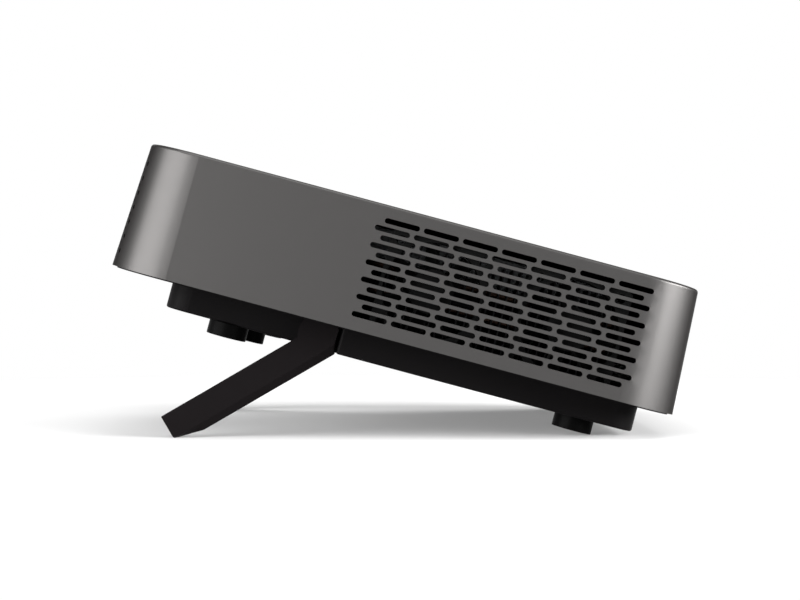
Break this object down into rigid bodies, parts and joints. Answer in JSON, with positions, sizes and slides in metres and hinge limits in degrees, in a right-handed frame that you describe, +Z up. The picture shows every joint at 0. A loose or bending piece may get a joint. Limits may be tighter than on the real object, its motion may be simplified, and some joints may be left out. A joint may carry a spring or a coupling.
{
  "type": "portable projector with disc player",
  "caption": "Square portable projector with a leaning metal band, side air grille, fold-out prop stand, disc tray and focusing lens.",
  "frame": {"origin": "middle of the standing part's footprint, on the surface it stands on", "axes": "+X from the lens end to the connector end, +Y from the air grille side to the disc tray side, +Z up; stored standing on its opened stand, so the case leans 15 degrees, lens end up"},
  "size_m": [0.2264, 0.224, 0.1129],
  "materials": {
    "band_metal": "dark grey anodised satin",
    "cover_black": "black satin top",
    "case_black": "black, fine satin",
    "stand_black": "black satin",
    "rubber_black": "black",
    "key_black": "black",
    "steel": "bright steel",
    "zinc_sheet": "zinc plated sheet",
    "port_metal": "plated",
    "brass": "turned brass",
    "copper": "bare copper",
    "fin_aluminium": "bare",
    "cast_metal": "grey cast",
    "inner_plastic": "black",
    "tray_grey": "dark grey",
    "board_green": "green solder mask",
    "battery_wrap": "blue-grey wrap",
    "lens_black": "black anodised",
    "lens_glass": "coated glass",
    "ir_plastic": "dark red, infrared clear",
    "cloth_black": "black acoustic cloth"
  },
  "bodies": {
    "case": {"band_housing": "band_metal", "top_cover": "cover_black", "bottom_plate": "case_black", "base_pan": "case_black", "foot_front_near": "rubber_black", "foot_front_far": "rubber_black", "foot_rear_near": "rubber_black", "foot_rear_far": "rubber_black", "bumper_feet": "rubber_black", "shaft_bushes": "brass", "friction_clips": "steel", "tripod_insert": "brass", "case_screws": "steel", "battery_pack": "battery_wrap", "main_board": "board_green", "hdmi_port": "port_metal", "usb_port": "port_metal", "audio_jacks": "inner_plastic", "power_inlet": "inner_plastic", "fan_frame_front": "inner_plastic", "fan_frame_rear": "inner_plastic", "fin_stack": "fin_aluminium", "heat_pipes": "copper", "light_engine": "cast_metal", "led_modules": "board_green", "prism": "lens_glass", "imager_board": "board_green", "lens_barrel": "lens_black", "rear_lens": "lens_glass", "speaker_near": "inner_plastic", "speaker_far": "inner_plastic", "speaker_cloth": "cloth_black", "ir_window": "ir_plastic", "drive_chassis": "zinc_sheet", "key_board": "board_green"},
    "stand": {"stand_leg_near": "stand_black", "stand_leg_far": "stand_black", "stand_shaft": "steel", "toe_pads": "rubber_black"},
    "rails": {"tray_rails": "zinc_sheet"},
    "tray": {"disc_tray": "tray_grey", "tray_bezel": "cover_black", "spindle_motor": "zinc_sheet", "guide_rods": "steel", "sled_motor": "zinc_sheet"},
    "eject": {"eject_button": "key_black"},
    "spindle": {"spindle_hub": "tray_grey"},
    "sled": {"laser_sled": "inner_plastic"},
    "screw": {"lead_screw": "steel"},
    "front_fan": {"fan_rotor_front": "inner_plastic"},
    "rear_fan": {"fan_rotor_rear": "inner_plastic"},
    "focus_grip": {"focus_ring": "lens_black"},
    "focus_tube": {"focus_cell": "lens_black", "front_lens": "lens_glass"},
    "ok_key_cap": {"ok_key": "key_black"},
    "power_key_cap": {"power_key": "key_black"},
    "up_key_cap": {"up_key": "key_black"},
    "down_key_cap": {"down_key": "key_black"},
    "left_key_cap": {"left_key": "key_black"},
    "right_key_cap": {"right_key": "key_black"}
  },
  "joints": [
    {"name": "stand_fold", "type": "hinge", "parent": "case", "child": "stand", "pos_m": [-0.03331, 0, 0.03935], "axis": [0, 1, 0], "range_deg": [0, 45.37]},
    {"name": "tray_slide", "type": "slide", "parent": "case", "child": "tray", "axis": [0, 1, 0], "range_m": [0, 0.118]},
    {"name": "rail_slide", "type": "slide", "parent": "case", "child": "rails", "axis": [0, 1, 0], "range_m": [0, 0.059]},
    {"name": "eject_press", "type": "slide", "parent": "tray", "child": "eject", "axis": [0, -1, 0], "range_m": [0, 0.0006], "stiffness_N_per_m": 1500},
    {"name": "spindle_spin", "type": "hinge", "parent": "tray", "child": "spindle", "pos_m": [0.02718, 0.04597, 0.0688], "axis": [0.2588, 0, 0.9659], "continuous": true},
    {"name": "sled_slide", "type": "slide", "parent": "tray", "child": "sled", "axis": [0, -1, 0], "range_m": [0, 0.032]},
    {"name": "lead_screw_turn", "type": "hinge", "parent": "tray", "child": "screw", "pos_m": [0.04462, 0.04597, 0.0605], "axis": [0, 1, 0], "range_deg": [0, 3840]},
    {"name": "fan_front_spin", "type": "hinge", "parent": "case", "child": "front_fan", "pos_m": [0.00971, -0.10702, 0.05577], "axis": [0, 1, 0], "continuous": true},
    {"name": "fan_rear_spin", "type": "hinge", "parent": "case", "child": "rear_fan", "pos_m": [0.06187, -0.10702, 0.0418], "axis": [0, 1, 0], "continuous": true},
    {"name": "focus_turn", "type": "hinge", "parent": "case", "child": "focus_grip", "pos_m": [-0.10862, 0, 0.09007], "axis": [0.9659, 0, -0.2588], "range_deg": [-60, 60]},
    {"name": "focus_slide", "type": "slide", "parent": "case", "child": "focus_tube", "axis": [0.9659, 0, -0.2588], "range_m": [-0.0015, 0.0015]},
    {"name": "ok_key_press", "type": "slide", "parent": "case", "child": "ok_key_cap", "axis": [-0.2588, 0, -0.9659], "range_m": [0, 0.0004], "stiffness_N_per_m": 3000},
    {"name": "power_key_press", "type": "slide", "parent": "case", "child": "power_key_cap", "axis": [-0.2588, 0, -0.9659], "range_m": [0, 0.0004], "stiffness_N_per_m": 3000},
    {"name": "up_key_press", "type": "slide", "parent": "case", "child": "up_key_cap", "axis": [-0.2588, 0, -0.9659], "range_m": [0, 0.0004], "stiffness_N_per_m": 3000},
    {"name": "down_key_press", "type": "slide", "parent": "case", "child": "down_key_cap", "axis": [-0.2588, 0, -0.9659], "range_m": [0, 0.0004], "stiffness_N_per_m": 3000},
    {"name": "left_key_press", "type": "slide", "parent": "case", "child": "left_key_cap", "axis": [-0.2588, 0, -0.9659], "range_m": [0, 0.0004], "stiffness_N_per_m": 3000},
    {"name": "right_key_press", "type": "slide", "parent": "case", "child": "right_key_cap", "axis": [-0.2588, 0, -0.9659], "range_m": [0, 0.0004], "stiffness_N_per_m": 3000}
  ],
  "couplings": [
    {"joint": "rail_slide", "follows": "tray_slide", "ratio": 0.5},
    {"joint": "lead_screw_turn", "follows": "sled_slide", "rad_per_m": 2094.4},
    {"joint": "focus_turn", "follows": "focus_slide", "rad_per_m": 698.13}
  ]
}
